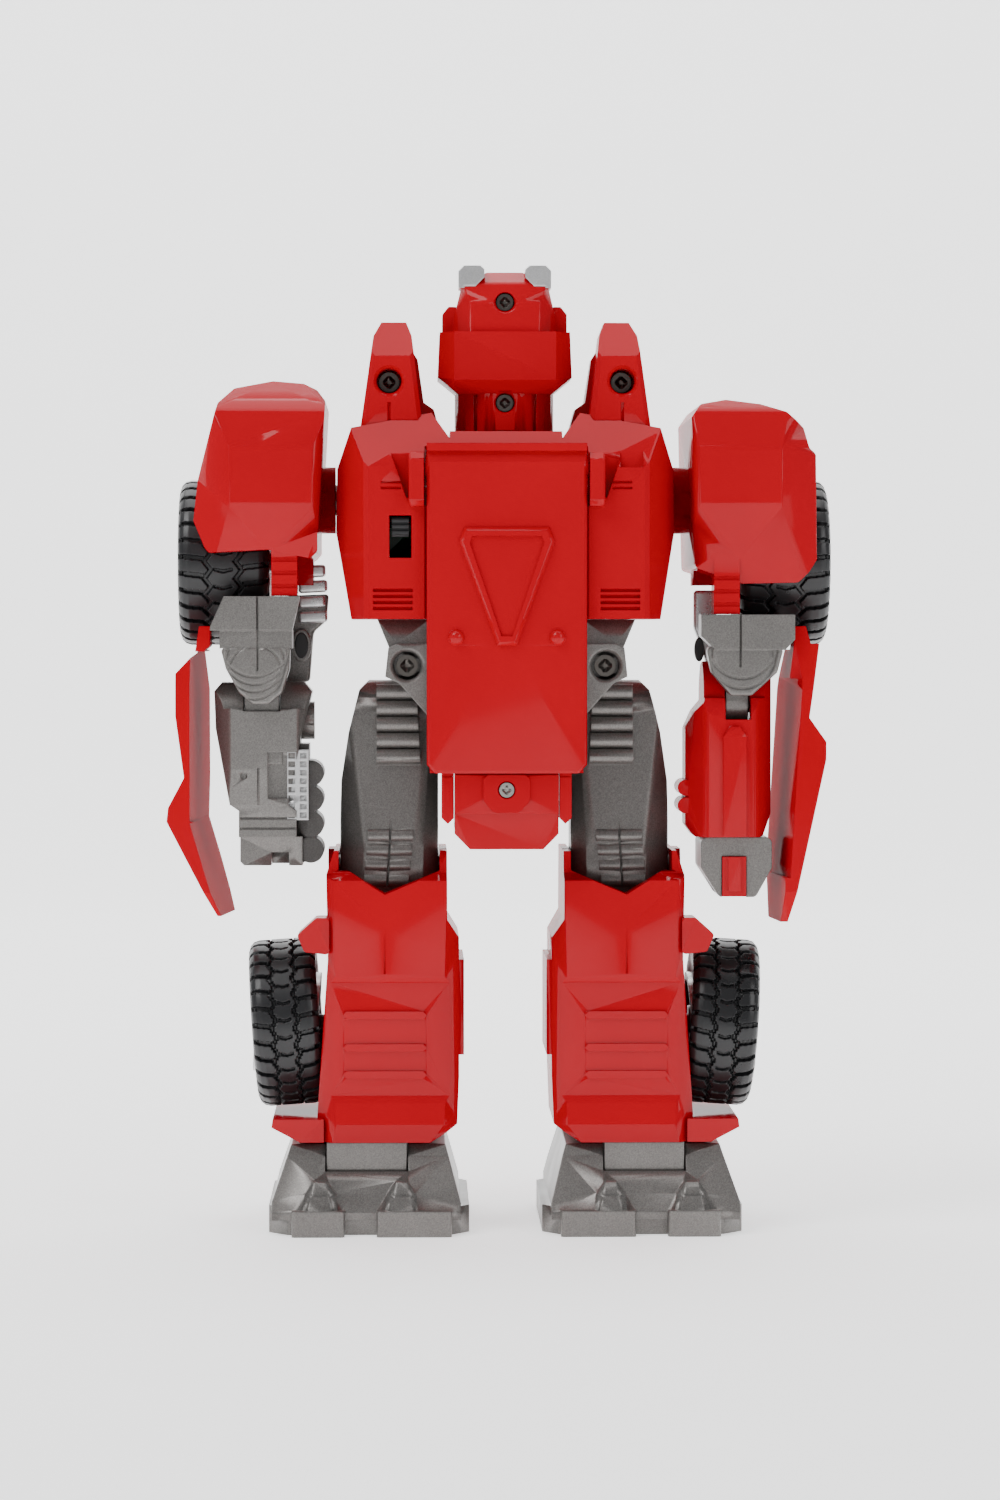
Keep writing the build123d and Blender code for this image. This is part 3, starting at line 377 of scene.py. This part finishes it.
# Silver ribs, brackets and hubs on the inside of each arm, beside the wheel.
for k in range(4):
    z = FIRST_RIB + RIB_PITCH * k
    inner = 46.4 + 0.5 * (k % 2)
    plate(f"left_arm_rib_{k}", "left_arm", "silver_plastic",
          [(inner, z), (54, z - 0.4), (54, z + 2.8), (inner, z + 3.2)], 3, 13, -1, 0.8)
plate("left_arm_bracket", "left_arm", "grey_plastic",
      [(57, 164.6), (46, 165), (46.6, 158), (50, 155), (51, 142), (58, 141)], 4, 8.4, -1, 0.9)
plate("left_arm_hub_rim", "left_arm", "grey_plastic", oval(53.2, 151.5, 2.7, 4.4),
      2.4, 4.6, -1, 0.5)
plate("left_arm_hub", "left_arm", "black_plastic", oval(53.2, 151.5, 1.8, 3.4), 1.9, 3.2, -1, 0.4)
# Web that closes the left forearm under the elbow.
plate("left_forearm_web", "left_fore", "grey_plastic",
      [(57.6, 120.8), (62.2, 120.8), (62.2, 124.8), (57.6, 124.8)], -18.9, -17.9, -1, 0.3)
plate("right_arm_bracket", "right_arm", "silver_plastic",
      [(56, 166), (50.2, 166), (50.2, 156), (52.6, 150), (54.4, 142), (57, 141)], 3.6, 8, 1, 0.9)
plate("right_arm_hub", "right_arm", "black_plastic", oval(51.6, 150.4, 1.3, 3.2), 2.2, 4.6, 1, 0.4)


# ---------------------------------------------------------------- studio, in metres and watts

FLOOR_FRONT, FLOOR_BACK = -2.5, 1.2
CURVE_R = 0.5
CURVE_STEPS = 12
BACKDROP_TOP = 3.0
BACKDROP_HALF = 3.0
PAPER_GLOW = 0.9


def area(name, spot, aim, size, watts):
    """Soft box pointing at a spot."""
    data = bpy.data.lights.new(name, "AREA")
    data.shape = "RECTANGLE"
    data.size, data.size_y = size
    data.energy = watts
    obj = add_object(name, data)
    obj.location = spot
    turn_to(obj, Vector(aim))


def sweep():
    """Pale floor that curves up into a backdrop."""
    turns = [pi / 2 * k / CURVE_STEPS for k in range(1, CURVE_STEPS + 1)]
    profile = [(FLOOR_FRONT, 0), (FLOOR_BACK, 0)]
    profile += [(FLOOR_BACK + CURVE_R * sin(a), CURVE_R - CURVE_R * cos(a)) for a in turns]
    profile += [(FLOOR_BACK + CURVE_R, BACKDROP_TOP)]
    verts = [(x, y, z) for y, z in profile for x in (-BACKDROP_HALF, BACKDROP_HALF)]
    faces = [(2 * k, 2 * k + 1, 2 * k + 3, 2 * k + 2) for k in range(len(profile) - 1)]
    mesh = bpy.data.meshes.new("backdrop")
    mesh.from_pydata(verts, [], faces)
    mesh.shade_smooth()
    obj = add_object("backdrop", mesh)
    paper = surface("paper", (0.9, 0.9, 0.9), 0.75, tint=0.01, grain=60, edge=CRISP)
    glow = paper.node_tree.nodes["Principled BSDF"]
    glow.inputs["Emission Color"].default_value = (1, 1, 1, 1)
    glow.inputs["Emission Strength"].default_value = PAPER_GLOW
    mesh.materials.append(paper)


sweep()
area("key", (-0.7, -0.6, 1.15), (0, 0, 0.12), (0.7, 0.7), 11)
area("fill", (0.9, -0.8, 0.7), (0, 0, 0.12), (0.5, 0.8), 4)
area("top", (0, 0.15, 1.3), (0, 0, 0.1), (1.2, 1.0), 11)
area("back", (0, 0.7, 1.3), (0, 1.7, 0.5), (2.4, 0.8), 22)

world = bpy.data.worlds.new("studio")
world.use_nodes = True
sky = world.node_tree.nodes["Background"]
sky.inputs["Color"].default_value = (0.95, 0.97, 1.0, 1)
sky.inputs["Strength"].default_value = 0.3
bpy.context.scene.world = world

AZIMUTH, DISTANCE, EYE = radians(-1.2), 1.15, 0.155
TARGET = Vector((-0.001, 0, 0.124))
camera = bpy.data.cameras.new("camera")
camera.sensor_width = 36
camera.lens = 105
viewer = add_object("camera", camera)
viewer.location = TARGET + Vector((sin(AZIMUTH) * DISTANCE, -cos(AZIMUTH) * DISTANCE,
                                   EYE - TARGET.z))
turn_to(viewer, TARGET)
bpy.context.scene.camera = viewer
